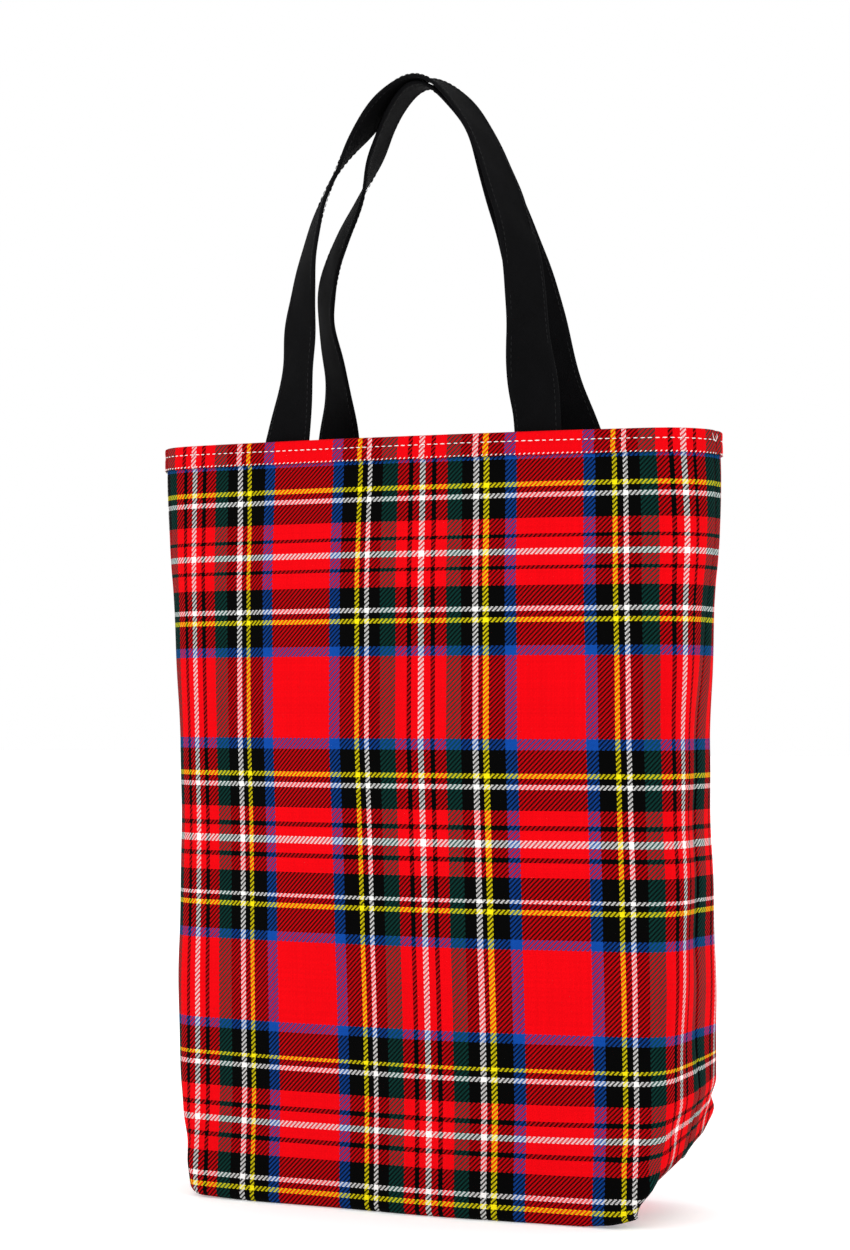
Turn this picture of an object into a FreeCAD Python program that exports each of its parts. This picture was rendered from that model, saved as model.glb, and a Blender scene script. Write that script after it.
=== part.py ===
import FreeCAD, Part
import math
import os

os.makedirs("parts", exist_ok=True)

# Woven tote bag with a boxed base and two shoulder straps, in millimetres.
# Origin: on the floor, under the middle of the mouth.  +Z up, the front panel faces -Y and the
# width runs along X.

# ---- driving dimensions ---------------------------------------------------------------------
PANEL_WIDTH = 380.0          # flat width of one panel, from side seam to side seam
BAG_HEIGHT = 430.0           # base underside to the top of the hem
CLOTH = 1.2                  # thickness of the tartan cloth
GAP = 0.1                    # air kept between neighbouring layers
BASE_SHIFT = 8.0             # how far the base stands to one side of the mouth, as a soft bag slumps
BASE_END_RISE = 16.0         # how far the middle of each base end is drawn up
BASE_FLAT = 92.0             # half length of the part of the base that lies flat
BASE_EASE = 48.0             # length over which a base end comes up
BASE_REACH = 62.0            # distance from the middle plane at which that rise has died away
FLOOR_BITE = 0.3             # how far the eased base would dip under its flat middle
HEM_DROP = 13.5              # depth of the turned hem on the outside
HEM_INSIDE = 20.0            # depth of the turned hem on the inside
UPPER_ROW = 5.5              # upper stitch row, below the top of the hem
LOWER_ROW = 12.4             # lower stitch row, below the top of the hem
THREAD = 0.5                 # sewing thread lying on the cloth
ALLOWANCE = 10.0             # width of the seam allowances inside the bag
SIDE_SEAM_INSET = 1.6        # from the cloth's inside to the side seam allowances
SIDE_SEAM_FOOT = 14.0        # from the risen base end to their lower end
BOTTOM_SEAM_INSET = 16.0     # from the side seam to each end of the bottom allowances
BOTTOM_SEAM_LIFT = 0.3       # air under the bottom allowances
CORNER_SEAM_INSET = 9.0      # from the side seam to the allowances across a base end
CORNER_SEAM_REACH = 42.0     # half length of those
CORNER_SEAM_LIFT = 1.2       # air under those
STRAP_WIDTH = 28.0
STRAP_THICK = 2.0
STRAP_TAIL = 30.0            # strap end sewn inside the mouth, below the hem top
STRAP_CLEAR = 1.6            # air between a strap and the curved hem in front of it
STRAP_SPACING = 155.0        # between the two ends of one strap, centre to centre
STRAP_EDGE_ROW = 2.5         # edge stitching, in from the strap's edge
STITCH_RISE = 0.35           # how far that stitching stands off the strap's face
APEX_Y = 2.0                 # a strap's distance from the middle plane at the top of its arch
PIVOT_RISE = 1.0             # fold line of a strap, above the hem top
UPRIGHT_SHARE = 0.1          # share of the climb over which a leg leaves the upright
TURN_START = 0.04            # share of the climb at which a leg starts to turn
TURN_SHARE = 0.62            # share of the climb over which it turns a quarter
TAIL_GAP = 0.4               # between a tail's top and the foot of its strap

# Section of the bag at a height: the cloth's heading turns by "flare" over the whole half
# width and by "turn" between the two cloth positions "start" and "end" (degrees, mm).
#             height  flare  start   end   turn
STATIONS = ((0.0, 6.0, 130.0, 148.0, 83.0),
            (60.0, 12.0, 131.0, 163.0, 73.0),
            (150.0, 16.0, 124.0, 178.0, 77.0),
            (260.0, 18.0, 121.0, 190.0, 79.0),
            (350.0, 15.0, 124.0, 196.0, 77.0),
            (430.0, 9.0, 135.0, 200.0, 82.0))
LOFT_HEIGHTS = (-12.0, 0.0, 25.0, 60.0, 105.0, 150.0, 205.0, 260.0, 320.0, 380.0, 430.0, 450.0)

HALF = PANEL_WIDTH / 2
CURVE_STEPS = 26             # points along one half of a section curve
INTEGRATION_STEPS = 8        # fine steps between two of those points
BEHIND = 8.0                 # how far the tool blocks reach past the middle plane
OVERCUT = 5.0                # how far a cutting block stands past what it cuts
FAR = 400.0                  # larger than the bag, for slabs that split it

# Strap routes: position across (from the middle of the mouth), height.  The left leg bows out.
FRONT_ROUTE = ((-77.5, 431.0), (-78.5, 470.0), (-79.0, 510.0), (-77.0, 545.0), (-66.0, 580.0),
               (-44.0, 611.0), (-8.0, 639.0), (18.0, 617.0), (36.0, 585.0), (50.0, 546.0),
               (62.0, 500.0), (72.0, 458.0), (77.5, 431.0))
BACK_ROUTE = ((-77.5, 431.0), (-79.5, 470.0), (-78.0, 505.0), (-69.0, 540.0), (-54.0, 574.0),
              (-36.0, 605.0), (-9.0, 633.5), (13.0, 612.0), (28.0, 580.0), (42.0, 542.0),
              (57.0, 498.0), (71.0, 458.0), (77.5, 431.0))
STRAP_STATIONS = 40


# ---- the bag's surface ----------------------------------------------------------------------
def smooth(value):
    """Ease from 0 to 1."""
    value = min(max(value, 0.0), 1.0)
    return value * value * (3 - 2 * value)


def station(height):
    """Section figures at a height, eased between the neighbouring stations."""
    height = min(max(height, STATIONS[0][0]), STATIONS[-1][0])
    for low, high in zip(STATIONS, STATIONS[1:]):
        if height <= high[0]:
            share = (height - low[0]) / (high[0] - low[0])
            return [a + (b - a) * share for a, b in zip(low[1:], high[1:])]
    return list(STATIONS[-1][1:])


def heading(across, figures):
    """Direction of the cloth, in radians, at a distance from the middle of the panel."""
    flare, start, end, turn = figures
    return math.radians(flare * across / HALF + turn * smooth((across - start) / (end - start)))


def half_section(height, offset=0.0):
    """Right half of the front curve at a height: points from the middle to the side seam.

    The heading is summed along the cloth, so the girth stays the same at every height.
    The offset is measured outwards, square to the cloth.
    """
    figures = station(height)
    step = HALF / (CURVE_STEPS - 1) / INTEGRATION_STEPS
    x, y = 0.0, 0.0
    track = [(0.0, 0.0, heading(0.0, figures))]
    for index in range(1, CURVE_STEPS):
        for fine in range(INTEGRATION_STEPS):
            middle = ((index - 1) * INTEGRATION_STEPS + fine + 0.5) * step
            angle = heading(middle, figures)
            x += math.cos(angle) * step
            y += math.sin(angle) * step
        track.append((x, y, heading(index * step * INTEGRATION_STEPS, figures)))
    depth = y
    return [(px + offset * math.sin(a), py - depth - offset * math.cos(a)) for px, py, a in track]


def lean(height):
    """Sideways slump at a height."""
    return BASE_SHIFT * (1 - height / BAG_HEIGHT)


def section_points(height, offset=0.0):
    """Whole front curve at a height, left seam to right seam, as vectors."""
    right = half_section(height, offset)
    left = [(-x, y) for x, y in reversed(right[1:])]
    shift = lean(height)
    return [FreeCAD.Vector(x + shift, y, height) for x, y in left + right]


def seam_x(height, offset=0.0):
    """Distance of the side seam from the middle of the section."""
    return half_section(height, offset)[-1][0]


def depth_at(height, across):
    """Distance of the front cloth from the middle plane, at a place across the bag."""
    curve = half_section(height)
    for (x1, y1), (x2, y2) in zip(curve, curve[1:]):
        if x1 <= across <= x2:
            return -(y1 + (y2 - y1) * (across - x1) / (x2 - x1))
    raise ValueError("no cloth there")


def base_rise(x, y):
    """Height of the base underside: flat in the middle, drawn up at the middle of each end."""
    along = smooth((abs(x - BASE_SHIFT) - BASE_FLAT) / BASE_EASE)
    return BASE_END_RISE * along * (1 - smooth(abs(y) / BASE_REACH))


# ---- solids ---------------------------------------------------------------------------------
def spline(points):
    curve = Part.BSplineCurve()
    curve.interpolate(points)
    return curve.toShape()


def half_block(offset, back_reach, low, high):
    """Solid between the front curve, offset outwards, and a plane behind it."""
    wires = []
    for height in LOFT_HEIGHTS:
        points = section_points(height, offset)
        first, last = points[0], points[-1]
        behind_last = FreeCAD.Vector(last.x, back_reach, height)
        behind_first = FreeCAD.Vector(first.x, back_reach, height)
        edges = [spline(points), Part.makeLine(last, behind_last),
                 Part.makeLine(behind_last, behind_first), Part.makeLine(behind_first, first)]
        wires.append(Part.Wire(edges))
    block = Part.makeLoft(wires, True, False)
    slab = Part.makeBox(2 * FAR, 2 * FAR, high - low, FreeCAD.Vector(-FAR, -FAR, low))
    return block.common(slab)


def above_base(lift):
    """Everything above the base underside, raised by a lift.

    The eased surface dips a little under its flat middle, where a level plane cuts it off.
    """
    rows = []
    for y in range(-80, 81, 20):
        spots = [(BASE_SHIFT + 12.5 * k, float(y)) for k in range(-16, 17)]
        rows.append([FreeCAD.Vector(x, y, base_rise(x, y) + lift - FLOOR_BITE) for x, y in spots])
    surface = Part.BSplineSurface()
    surface.interpolate(rows)
    above = surface.toShape().extrude(FreeCAD.Vector(0, 0, 2 * FAR))
    return above.common(Part.makeBox(2 * FAR, 2 * FAR, 2 * FAR, FreeCAD.Vector(-FAR, -FAR, lift)))


def front_side(shape):
    """The part of a shape in front of the middle plane, short of it by half a gap."""
    corner = FreeCAD.Vector(-FAR, -FAR, -FAR)
    return shape.common(Part.makeBox(2 * FAR, FAR - GAP / 2, 3 * FAR, corner))


def make_panel():
    """One panel: its face, half of each side and half of the base, all one cloth."""
    top = BAG_HEIGHT - CLOTH - GAP
    low = LOFT_HEIGHTS[0]
    outer = half_block(0.0, BEHIND, low, top).common(above_base(0.0))
    inner = half_block(-CLOTH, BEHIND + 1, low, top + OVERCUT).common(above_base(CLOTH))
    return front_side(outer.cut(inner))


def make_hem():
    """Turned hem: an upside-down U over the panel's top edge."""
    reach = CLOTH + GAP
    inside_low = BAG_HEIGHT - HEM_INSIDE
    outside_low = BAG_HEIGHT - HEM_DROP
    under = inside_low - OVERCUT
    outer = half_block(reach, BEHIND, inside_low, BAG_HEIGHT)
    hollow = half_block(-CLOTH - reach, BEHIND + 1, under, BAG_HEIGHT + OVERCUT)
    slot = half_block(GAP, BEHIND + 1, under, BAG_HEIGHT - CLOTH)
    slot_core = half_block(-reach, BEHIND + 2, under - 1, BAG_HEIGHT - CLOTH + 1)
    below = half_block(reach + GAP, BEHIND + 1, under, outside_low)
    outside_leg = below.cut(half_block(GAP / 2, BEHIND + 2, under - 1, BAG_HEIGHT))
    return front_side(outer.cut(hollow).cut(slot.cut(slot_core)).cut(outside_leg))


def make_row(drop):
    """One row of sewing thread along the outside of the hem."""
    low = BAG_HEIGHT - drop - THREAD / 2
    near = CLOTH + 2 * GAP
    band = half_block(near + THREAD, BEHIND, low, low + THREAD)
    core = half_block(near, BEHIND + 1, low - OVERCUT, low + THREAD + OVERCUT)
    return front_side(band.cut(core))


def flipped(shape):
    """The same piece on the back of the bag."""
    return shape.mirror(FreeCAD.Vector(0, 0, 0), FreeCAD.Vector(0, 1, 0))


def upright_strip(outline, thick):
    """A strip in the middle plane, from an outline of (x, height) points."""
    wire = Part.makePolygon([FreeCAD.Vector(x, -thick / 2, z) for x, z in outline + outline[:1]])
    return Part.Face(wire).extrude(FreeCAD.Vector(0, thick, 0))


def make_side_seam(side):
    """Two seam allowances pressed together inside a side seam."""
    low, high = BASE_END_RISE + SIDE_SEAM_FOOT, BAG_HEIGHT - HEM_INSIDE - CLOTH
    steps = 14
    heights = [low + (high - low) * k / steps for k in range(steps + 1)]
    outer = [(lean(z) + side * (seam_x(z, -CLOTH) - SIDE_SEAM_INSET), z) for z in heights]
    inner = [(x - side * ALLOWANCE, z) for x, z in reversed(outer)]
    return upright_strip(outer + inner, 2 * CLOTH)


def make_bottom_seam():
    """Allowances of the seam along the middle of the base, standing up inside."""
    steps = 22
    reach = seam_x(0.0) - BOTTOM_SEAM_INSET
    xs = [BASE_SHIFT - reach + 2 * reach * k / steps for k in range(steps + 1)]
    low = [(x, base_rise(x, 0.0) + CLOTH + BOTTOM_SEAM_LIFT) for x in xs]
    high = [(x, z + ALLOWANCE) for x, z in reversed(low)]
    return upright_strip(low + high, 2 * CLOTH)


def make_corner_seam(side):
    """Allowances of the short seam across one end of the base."""
    steps = 16
    x = BASE_SHIFT + side * (seam_x(0.0) - CORNER_SEAM_INSET)
    reach = CORNER_SEAM_REACH
    ys = [-reach + 2 * reach * k / steps for k in range(steps + 1)]
    low = [(y, base_rise(x, y) + CLOTH + CORNER_SEAM_LIFT) for y in ys]
    high = [(y, z + ALLOWANCE) for y, z in reversed(low)]
    outline = low + high
    wire = Part.makePolygon([FreeCAD.Vector(x - CLOTH, y, z) for y, z in outline + outline[:1]])
    return Part.Face(wire).extrude(FreeCAD.Vector(2 * CLOTH, 0, 0))


# ---- straps ---------------------------------------------------------------------------------
STRAP_X = STRAP_SPACING / 2
HEM_THICK = 3 * CLOTH + 2 * GAP
PIVOT_Y = depth_at(BAG_HEIGHT, STRAP_X) - CLOTH / 2
STRAP_OFFSET = HEM_THICK / 2 + STRAP_CLEAR + STRAP_THICK / 2
STRAP_Y = PIVOT_Y - STRAP_OFFSET
PIVOT_Z = BAG_HEIGHT + PIVOT_RISE


def route_curve(route):
    """Smooth line through a strap's route, as a curve in the middle plane."""
    points = [FreeCAD.Vector(x, 0, z) for x, z in route]
    curve = Part.BSplineCurve()
    curve.interpolate(Points=points)
    return curve


def strap_frames(route):
    """Places along a strap: centre, direction across the strap and direction of its outer face.

    The strap stands flat against the mouth at its ends.  Each leg turns a quarter while it
    climbs, so that it goes over the top of the arch lying flat.
    """
    curve = route_curve(route)
    start, end = curve.FirstParameter, curve.LastParameter
    top = max(z for x, z in route)
    flat = FreeCAD.Vector(0, -1, 0)
    frames = []
    for index in range(STRAP_STATIONS + 1):
        value = start + (end - start) * index / STRAP_STATIONS
        spot = curve.value(value)
        climb = (spot.z - PIVOT_Z) / (top - PIVOT_Z)
        y = -(STRAP_Y + (APEX_Y - STRAP_Y) * climb)
        tangent = curve.tangent(value)[0]
        upright = FreeCAD.Vector(0, 0, 1 if index * 2 < STRAP_STATIONS else -1)
        ease = smooth(climb / UPRIGHT_SHARE)
        run = (upright * (1 - ease) + tangent * ease).normalize()
        outward = FreeCAD.Vector(-run.z, 0, run.x)
        turn = smooth((climb - TURN_START) / TURN_SHARE) * math.pi / 2
        face = flat * math.cos(turn) + outward * math.sin(turn)
        frames.append((FreeCAD.Vector(spot.x, y, spot.z), run.cross(face), face))
    return frames


def ribbon(frames, low, high, under, over):
    """Solid strip along the frames, between two places across and two along the thickness."""
    corners = [[centre + across * a + face * f for centre, across, face in frames]
               for a, f in ((low, under), (high, under), (high, over), (low, over))]
    rails = [spline(points) for points in corners]
    faces = [Part.makeRuledSurface(rails[k], rails[(k + 1) % 4]) for k in range(4)]
    for end in (0, -1):
        loop = [points[end] for points in corners]
        faces.append(Part.Face(Part.makePolygon(loop + loop[:1])))
    shell = Part.makeShell([face for side in faces for face in side.Faces])
    shell.sewShape()
    solid = Part.makeSolid(shell)
    if solid.Volume < 0:
        solid.reverse()
    return solid


def make_strap(route):
    frames = strap_frames(route)
    half = STRAP_WIDTH / 2
    return ribbon(frames, -half, half, -STRAP_THICK / 2, STRAP_THICK / 2)


def make_edge_rows(route):
    """Two rows of edge stitching on the strap's outer face."""
    frames = strap_frames(route)
    low, high = STRAP_THICK / 2 + GAP / 2, STRAP_THICK / 2 + STITCH_RISE
    rows = []
    for side in (-1, 1):
        middle = side * (STRAP_WIDTH / 2 - STRAP_EDGE_ROW)
        rows.append(ribbon(frames, middle - THREAD / 2, middle + THREAD / 2, low, high))
    return Part.makeCompound(rows)


def make_tails():
    """The two strap ends sewn inside the mouth."""
    tails = []
    for side in (-1, 1):
        corner = FreeCAD.Vector(side * STRAP_X - STRAP_WIDTH / 2,
                                -STRAP_Y - STRAP_THICK / 2, BAG_HEIGHT - STRAP_TAIL)
        tails.append(Part.makeBox(STRAP_WIDTH, STRAP_THICK, STRAP_TAIL + PIVOT_RISE - TAIL_GAP, corner))
    return Part.makeCompound(tails)


# ---- write the pieces -----------------------------------------------------------------------
panel = make_panel()
hem = make_hem()
upper_row = make_row(UPPER_ROW)
lower_row = make_row(LOWER_ROW)
tails = make_tails()

pieces = {
    "front_panel": panel,
    "back_panel": flipped(panel),
    "front_hem": hem,
    "back_hem": flipped(hem),
    "front_hem_upper_thread": upper_row,
    "front_hem_lower_thread": lower_row,
    "back_hem_upper_thread": flipped(upper_row),
    "back_hem_lower_thread": flipped(lower_row),
    "side_seam_left": make_side_seam(-1),
    "side_seam_right": make_side_seam(1),
    "bottom_seam": make_bottom_seam(),
    "corner_seam_left": make_corner_seam(-1),
    "corner_seam_right": make_corner_seam(1),
    "front_handle": make_strap(FRONT_ROUTE),
    "back_handle": flipped(make_strap(BACK_ROUTE)),
    "front_handle_edge_threads": make_edge_rows(FRONT_ROUTE),
    "back_handle_edge_threads": flipped(make_edge_rows(BACK_ROUTE)),
    "front_handle_tails": tails,
    "back_handle_tails": flipped(tails),
}

for name, shape in pieces.items():
    shape.exportStep("parts/" + name + ".step")
    box = shape.optimalBoundingBox()
    print(name, "solids", len(shape.Solids), "valid", shape.isValid(), "volume", round(shape.Volume),
          "x", round(box.XMin, 1), round(box.XMax, 1), "y", round(box.YMin, 1), round(box.YMax, 1),
          "z", round(box.ZMin, 1), round(box.ZMax, 1))
print("pivot", round(PIVOT_Y, 2), round(PIVOT_Z, 2), "strap plane", round(STRAP_Y, 2))
print("seam x", [round(seam_x(z), 1) for z in (0, 60, 150, 260, 350, 430)])
print("depth", [round(depth_at(z, 0.0), 1) for z in (0, 60, 150, 260, 350, 430)])
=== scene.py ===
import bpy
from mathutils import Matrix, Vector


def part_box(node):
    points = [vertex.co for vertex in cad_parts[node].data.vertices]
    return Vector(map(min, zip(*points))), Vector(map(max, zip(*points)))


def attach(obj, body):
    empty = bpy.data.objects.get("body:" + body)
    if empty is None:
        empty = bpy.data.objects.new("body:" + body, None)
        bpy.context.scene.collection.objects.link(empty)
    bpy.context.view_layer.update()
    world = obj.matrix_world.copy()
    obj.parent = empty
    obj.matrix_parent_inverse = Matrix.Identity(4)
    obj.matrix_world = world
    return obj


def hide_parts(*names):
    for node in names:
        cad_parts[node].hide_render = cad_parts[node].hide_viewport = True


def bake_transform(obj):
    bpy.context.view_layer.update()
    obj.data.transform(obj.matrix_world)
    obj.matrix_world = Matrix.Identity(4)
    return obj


bl_info = {
    "name": "Tartan Tote Bag",
    "version": (1, 0, 0),
    "blender": (4, 5, 0),
    "location": "View3D > Sidebar > Tote Bag",
    "description": "A woven tartan tote bag with a boxed base and two black cotton straps",
    "category": "Add Mesh",
}

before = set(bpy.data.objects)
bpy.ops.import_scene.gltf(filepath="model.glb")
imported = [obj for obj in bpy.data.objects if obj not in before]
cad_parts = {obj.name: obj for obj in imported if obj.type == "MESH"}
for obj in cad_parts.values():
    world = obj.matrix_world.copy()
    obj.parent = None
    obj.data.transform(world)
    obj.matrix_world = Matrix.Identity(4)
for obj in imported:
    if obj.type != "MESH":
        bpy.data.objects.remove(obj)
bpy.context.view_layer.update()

import math

import bpy
import numpy as np
from bpy.props import FloatProperty, FloatVectorProperty, PointerProperty

MM = 0.001                                   # the pieces are worked out in millimetres
HEM_TOP = float(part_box("front_hem")[1][2])   # metres
TOP = HEM_TOP / MM                           # the same in millimetres
BODIES = {"front": "front_strap", "back": "back_strap"}

# Section of the bag at a height: the cloth's heading turns by "flare" over the half width and
# by "turn" between the cloth positions "start" and "end" (mm and degrees).
#                     height  flare  start   end   turn
STATIONS = np.array(((0.0, 6.0, 130.0, 148.0, 83.0),
                     (60.0, 12.0, 131.0, 163.0, 73.0),
                     (150.0, 16.0, 124.0, 178.0, 77.0),
                     (260.0, 18.0, 121.0, 190.0, 79.0),
                     (350.0, 15.0, 124.0, 196.0, 77.0),
                     (430.0, 9.0, 135.0, 200.0, 82.0)))

# Strap routes: place across (from the middle of the mouth), height, and how far the strap has
# turned there about its own run, in mm and degrees. The back strap turns the other way.
ROUTES = {
    "front": ((-77.5, 431.0, 0.0), (-74.2, 470.0, 24.0), (-74.4, 510.0, 35.0),
              (-71.3, 545.0, 47.0), (-61.2, 580.0, 58.0), (-41.7, 611.0, 87.0),
              (-8.5, 639.0, 90.0), (23.3, 617.0, 76.0), (41.5, 585.0, 76.0),
              (57.2, 546.0, 70.0), (66.6, 500.0, 56.0), (71.8, 463.0, 28.0),
              (75.4, 446.0, 6.0), (77.5, 431.0, 0.0)),
    "back": ((-77.5, 431.0, 0.0), (-75.9, 470.0, -33.0), (-80.0, 505.0, -50.0),
             (-72.3, 540.0, -46.0), (-52.4, 574.0, -58.0), (-37.2, 605.0, -77.0),
             (-8.0, 635.6, -90.0), (18.6, 613.8, -90.0), (34.7, 580.0, -66.0),
             (46.4, 542.0, -52.0), (57.2, 498.0, -31.0), (65.5, 458.0, -10.0),
             (77.5, 431.0, 0.0)),
}

# Half of each stripe repeat, from the middle of the wide red band to the middle of the narrow
# white line: yarn and width in mm.
WARP_SETT = (("red", 19.7), ("blue", 6.9), ("black", 9.6), ("yellow", 3.0), ("black", 3.4),
             ("white", 3.0), ("black", 7.05), ("green", 9.4), ("red", 7.1), ("black", 2.5),
             ("red", 4.0), ("white", 2.0))
WEFT_SETT = (("red", 23.0), ("blue", 5.9), ("black", 13.2), ("yellow", 2.7), ("black", 3.4),
             ("white", 2.6), ("black", 11.7), ("red", 8.6), ("black", 2.7), ("red", 5.7),
             ("white", 2.0))


def linear(hex_colour):
    """An sRGB hex colour as linear red, green and blue."""
    parts = [int(hex_colour[k:k + 2], 16) / 255 for k in (0, 2, 4)]
    return tuple(p / 12.92 if p <= 0.04045 else ((p + 0.055) / 1.055) ** 2.4 for p in parts)


# ---- sizes and colours ----------------------------------------------------------------------
def size(name, description, default):
    return FloatProperty(name=name, description=description, default=default, unit="LENGTH",
                         precision=4)


def colour(name, description, hex_colour):
    return FloatVectorProperty(name=name, description=description, subtype="COLOR", size=3,
                               min=0.0, max=1.0, default=linear(hex_colour))


class ToteBagSizes(bpy.types.PropertyGroup):
    """Sizes of the cloth bag"""
    panel_width: size("Panel width", "Flat width of one panel between its side seams", 0.380)
    cloth: size("Cloth", "Thickness of the tartan cloth", 0.0012)
    base_shift: size("Base shift", "How far the slumped base stands to one side", 0.008)
    base_rise: size("Base end rise", "How far the middle of a base end is drawn up", 0.016)
    fold_radius: size("Fold radius", "Roundness of the fold at the foot of a panel", 0.005)
    hem_outside: size("Hem outside", "Depth of the turned hem on the outside", 0.0135)
    hem_inside: size("Hem inside", "Depth of the turned hem on the inside", 0.020)
    upper_row: size("Upper row", "Upper stitch row, below the hem top", 0.0055)
    lower_row: size("Lower row", "Lower stitch row, below the hem top", 0.0127)
    allowance: size("Seam allowance", "Width of the overlocked edges inside", 0.010)


class ToteStrapSizes(bpy.types.PropertyGroup):
    """Sizes of the straps"""
    width: size("Width", "Width of a strap", 0.028)
    thickness: size("Thickness", "Thickness of the folded strap", 0.002)
    tail: size("Tail", "Length sewn inside the mouth", 0.030)
    plane: size("Strap plane", "Distance of a strap's foot from the middle plane", 0.03269)
    apex: size("Apex plane", "Distance of a strap's top from the middle plane", 0.002)
    fold_y: size("Fold line", "Distance of the fold line from the middle plane", 0.03719)
    fold_z: size("Fold height", "Height of the fold line", 0.431)
    edge_row: size("Edge row", "Edge stitching, in from the strap's edge", 0.0025)


class ToteYarns(bpy.types.PropertyGroup):
    """Yarn colours and the weave"""
    red: colour("Red", "Red yarn", "EE0510")
    blue: colour("Blue", "Blue yarn", "1049A3")
    green: colour("Green", "Green yarn", "0B3F38")
    black: colour("Black", "Black yarn", "040404")
    yellow: colour("Yellow", "Yellow yarn", "FCEB10")
    white: colour("White", "White yarn", "FDFCFA")
    strap: colour("Strap", "Black cotton of the straps", "070708")
    stitch: colour("Stitch", "White sewing thread", "FAF8F4")
    dark_stitch: colour("Dark stitch", "Black sewing thread", "0D0D0F")
    thread_pitch: size("Thread pitch", "Spacing of the yarns as drawn", 0.00067)
    warp_repeat: size("Warp half repeat", "Red middle to white line, across", 0.0750)
    weft_repeat: size("Weft half repeat", "Red middle to white line, upwards", 0.0796)
    warp_line: size("Warp line", "Place across of the middle white line", 0.0116)
    weft_line: size("Weft line", "Height of the lowest white line", 0.0451)


class ToteStage(bpy.types.PropertyGroup):
    """Camera and light"""
    azimuth: FloatProperty(name="Azimuth", description="Camera direction round the bag",
                           default=math.radians(24.9), subtype="ANGLE")
    pitch: FloatProperty(name="Pitch", description="Upward tilt of the camera",
                         default=math.radians(1.50), subtype="ANGLE")
    distance: size("Distance", "Camera to the middle of the bag", 1.7305)
    eye: size("Eye height", "Height of the camera", 0.280)
    aside: size("Aside", "Shift of the camera to its left", 0.0055)
    lens: FloatProperty(name="Lens", description="Focal length in millimetres", default=87.5)
    sky: FloatProperty(name="Sky", description="Strength of the even studio light", default=1.0)


# ---- the bag's surface ----------------------------------------------------------------------
GAP = 0.1                    # air between the two panels at their seam
HEM_GAP = 0.2                # air between a panel and its hem
HALF_WIDTH = 190.0           # cloth from the middle of a panel to its side seam
COLUMNS = 149                # mesh columns across a panel
CORNER_COLUMNS = 20          # of them between a side seam and the nearest base corner
WALL_ROWS = 156              # mesh rows up a panel
FOLD_ROWS = 6                # of the fold at its foot
STRAP_PLACE = 82.0           # cloth from the middle of a panel to a strap end
HEM_ROUND = 1.2              # height of the hem's rounded top
TAIL_STEPS = 14              # places along each tail of a strap
ARCH_STEPS = 170             # and along its arch
FLOOR_GAP = 0.3              # least height of the base's inner skin
DRAWN_UP = np.array([-2.0, -3.0, 31.0])      # how far the right back corner of the base moves
BACK_STEP = 31.0             # where the middle of the back panel lies on the pattern
DRIFT = (16.5, 12.8)         # sideways drift of the stripes below the mouth
# Folds at the two ends of the base: the fold's height, the cloth place where it starts and the
# length over which it climbs, in mm, and the slope of the cloth below it.
RIGHT_FOLD = (22.0, 112.0, 38.0, 0.80)
LEFT_FOLD = (26.0, 137.0, 53.0, 0.16)
GAUSS_X, GAUSS_W = np.polynomial.legendre.leggauss(40)


def smooth(value):
    """Ease from 0 to 1: 3v^2 - 2v^3, level outside that range."""
    value = np.clip(value, 0.0, 1.0)
    return value * value * (3 - 2 * value)


def bump(value, middle, reach):
    """A round hump, 1 at its middle and 0 beyond its reach: (1 - d^2)^2 with d the distance
    from the middle over the reach."""
    return (1 - np.clip((value - middle) / reach, -1, 1) ** 2) ** 2


def heading(across, height):
    """Direction of the cloth in radians: flare * across / half width, plus turn * the ease of
    (across - start) / (end - start), with all four taken from the stations at that height."""
    flare, start, end, turn = (np.interp(height, STATIONS[:, 0], STATIONS[:, k])
                               for k in (1, 2, 3, 4))
    return np.radians(flare * across / HALF_WIDTH + turn * smooth((across - start) / (end - start)))


def section(across, height):
    """Front curve at a height: x is the sum of cos(heading) and y the sum of sin(heading) along
    the cloth from the middle, with y shifted so that the side seam lies in the middle plane.
    Also gives the outward direction (sin, -cos) of the heading."""
    reach = np.abs(across)

    def run(to):
        places = to[..., None] * (GAUSS_X + 1) / 2
        angles = heading(places, height[..., None])
        weights = GAUSS_W * to[..., None] / 2
        return (np.cos(angles) * weights).sum(-1), (np.sin(angles) * weights).sum(-1)

    x, y = run(reach)
    depth = run(np.full_like(reach, HALF_WIDTH))[1]
    angle = heading(reach, height)
    side = np.where(across < 0, -1.0, 1.0)
    return side * x, y - depth, side * np.sin(angle), -np.cos(angle)


def drape(across, height, phase):
    """How far the soft cloth stands off its plain form, outwards in mm: long shallow waves,
    a pull below each strap end and small crumples at the base corners, all dying away at the
    side seams and under the hem."""
    inside = smooth((HALF_WIDTH - np.abs(across)) / 26) * smooth((TOP - 14 - height) / 40)
    waves = (0.75 * np.sin(across / 31 + height / 140 + phase)
             + 0.55 * np.sin(across / 17 - height / 90 + 2.1 * phase)
             + 0.35 * np.sin(across / 60 + height / 33 + 0.7 * phase))
    pulls = sum(bump(across, place, 15) - 0.8 * bump(across, place - 19, 14)
                for place in (-STRAP_PLACE, STRAP_PLACE))
    pulls = pulls * 1.1 * bump(height, TOP - 40, 130)
    corner = bump(np.abs(across), 142, 34) * bump(height, 26, 46) * np.where(across < 0, 0.3, 1)
    crumples = corner * (1.3 * np.sin((height + 0.9 * np.abs(across)) / 5.5 + phase)
                         + 0.8 * np.sin((height - 0.6 * np.abs(across)) / 3.9 - phase))
    return inside * (waves + pulls) + crumples * smooth((HALF_WIDTH - np.abs(across)) / 10)


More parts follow.
